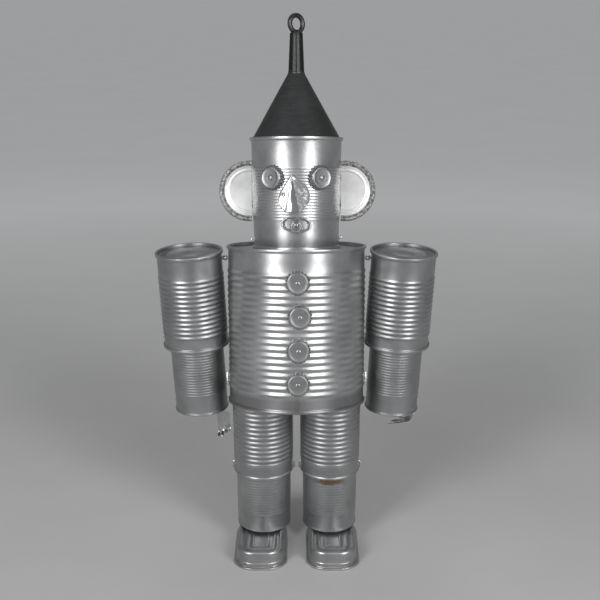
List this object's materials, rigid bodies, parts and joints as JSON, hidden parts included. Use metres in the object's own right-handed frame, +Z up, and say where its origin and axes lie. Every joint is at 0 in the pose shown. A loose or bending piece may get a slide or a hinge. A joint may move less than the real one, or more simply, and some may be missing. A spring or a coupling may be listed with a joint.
{
  "type": "jointed tin can figure",
  "caption": "Jointed standing figure made of tin cans on wire pins, with a funnel hat and hanging eye, bottle-cap eyes and buttons, lid ears, sheet hands and sardine-tin feet.",
  "frame": {"origin": "middle of the figure's outline, on the table under its feet", "axes": "+Z up, the face looks along -Y, +X to the right as seen from the front"},
  "size_m": [0.3182, 0.187, 0.6008],
  "materials": {
    "silver_paint": "silver spray paint, satin, over tinplate",
    "funnel_paint": "dark gunmetal paint, satin",
    "bare_wire": "bare galvanised wire and rivets",
    "dark_steel": "blackened steel hardware"
  },
  "bodies": {
    "torso": {"torso_can": "silver_paint", "button_cap_1": "silver_paint", "button_cap_2": "silver_paint", "button_cap_3": "silver_paint", "button_cap_4": "silver_paint", "button_rivet_1": "bare_wire", "button_rivet_2": "bare_wire", "button_rivet_3": "bare_wire", "button_rivet_4": "bare_wire", "hip_rod": "bare_wire", "shoulder_wire_l": "bare_wire", "shoulder_wire_r": "bare_wire", "shoulder_bead_l": "bare_wire", "shoulder_bead_r": "bare_wire", "head_can": "silver_paint", "neck_wire": "bare_wire", "neck_tie": "bare_wire", "funnel_hat": "funnel_paint", "hanging_eye": "dark_steel", "eye_nut": "dark_steel", "eye_cap_l": "silver_paint", "eye_cap_r": "silver_paint", "eye_rivet_l": "bare_wire", "eye_rivet_r": "bare_wire", "nose": "silver_paint", "nose_rivet_l": "bare_wire", "nose_rivet_r": "bare_wire", "mouth_tab": "silver_paint", "mouth_rivet": "bare_wire", "ear_l": "silver_paint", "ear_r": "silver_paint"},
    "upper_arm_l": {"upper_arm_can_l": "silver_paint", "elbow_pin_l": "bare_wire"},
    "lower_arm_l": {"lower_arm_can_l": "silver_paint", "wrist_pin_l": "bare_wire"},
    "hand_l": {"hand_l": "silver_paint"},
    "upper_leg_l": {"upper_leg_can_l": "silver_paint", "knee_pin_l": "bare_wire"},
    "lower_leg_l": {"lower_leg_can_l": "silver_paint", "foot_tin_l": "silver_paint", "foot_bolt_l": "dark_steel", "foot_nut_l": "dark_steel"},
    "upper_arm_r": {"upper_arm_can_r": "silver_paint", "elbow_pin_r": "bare_wire"},
    "lower_arm_r": {"lower_arm_can_r": "silver_paint", "wrist_pin_r": "bare_wire"},
    "hand_r": {"hand_r": "silver_paint"},
    "upper_leg_r": {"upper_leg_can_r": "silver_paint", "knee_pin_r": "bare_wire"},
    "lower_leg_r": {"lower_leg_can_r": "silver_paint", "foot_tin_r": "silver_paint", "foot_bolt_r": "dark_steel", "foot_nut_r": "dark_steel"}
  },
  "joints": [
    {"name": "shoulder_l", "type": "hinge", "parent": "torso", "child": "upper_arm_l", "pos_m": [-0.0841, 0.01377, 0.34219], "axis": [-1, 0, 0], "range_deg": [-60, 135]},
    {"name": "elbow_l", "type": "hinge", "parent": "upper_arm_l", "child": "lower_arm_l", "pos_m": [-0.11638, 0.01377, 0.24929], "axis": [-0.999, 0, -0.0454], "range_deg": [-18, 18]},
    {"name": "wrist_l", "type": "hinge", "parent": "lower_arm_l", "child": "hand_l", "pos_m": [-0.1128, 0.01377, 0.17037], "axis": [-0.999, 0, -0.0454], "range_deg": [-26, 26]},
    {"name": "hip_l", "type": "hinge", "parent": "torso", "child": "upper_leg_l", "pos_m": [-0.0392, -0.01148, 0.199], "axis": [-1, 0, 0], "range_deg": [-22, 18]},
    {"name": "knee_l", "type": "hinge", "parent": "upper_leg_l", "child": "lower_leg_l", "pos_m": [-0.0392, -0.01148, 0.1005], "axis": [-1, 0, 0], "range_deg": [-8, 8]},
    {"name": "shoulder_r", "type": "hinge", "parent": "torso", "child": "upper_arm_r", "pos_m": [0.0841, 0.01377, 0.34219], "axis": [-1, 0, 0], "range_deg": [-60, 135]},
    {"name": "elbow_r", "type": "hinge", "parent": "upper_arm_r", "child": "lower_arm_r", "pos_m": [0.11638, 0.01377, 0.24929], "axis": [-0.999, 0, 0.0454], "range_deg": [-18, 18]},
    {"name": "wrist_r", "type": "hinge", "parent": "lower_arm_r", "child": "hand_r", "pos_m": [0.1128, 0.01377, 0.17037], "axis": [-0.999, 0, 0.0454], "range_deg": [-26, 26]},
    {"name": "hip_r", "type": "hinge", "parent": "torso", "child": "upper_leg_r", "pos_m": [0.0392, -0.01148, 0.199], "axis": [-1, 0, 0], "range_deg": [-22, 18]},
    {"name": "knee_r", "type": "hinge", "parent": "upper_leg_r", "child": "lower_leg_r", "pos_m": [0.0392, -0.01148, 0.1005], "axis": [-1, 0, 0], "range_deg": [-8, 8]}
  ]
}
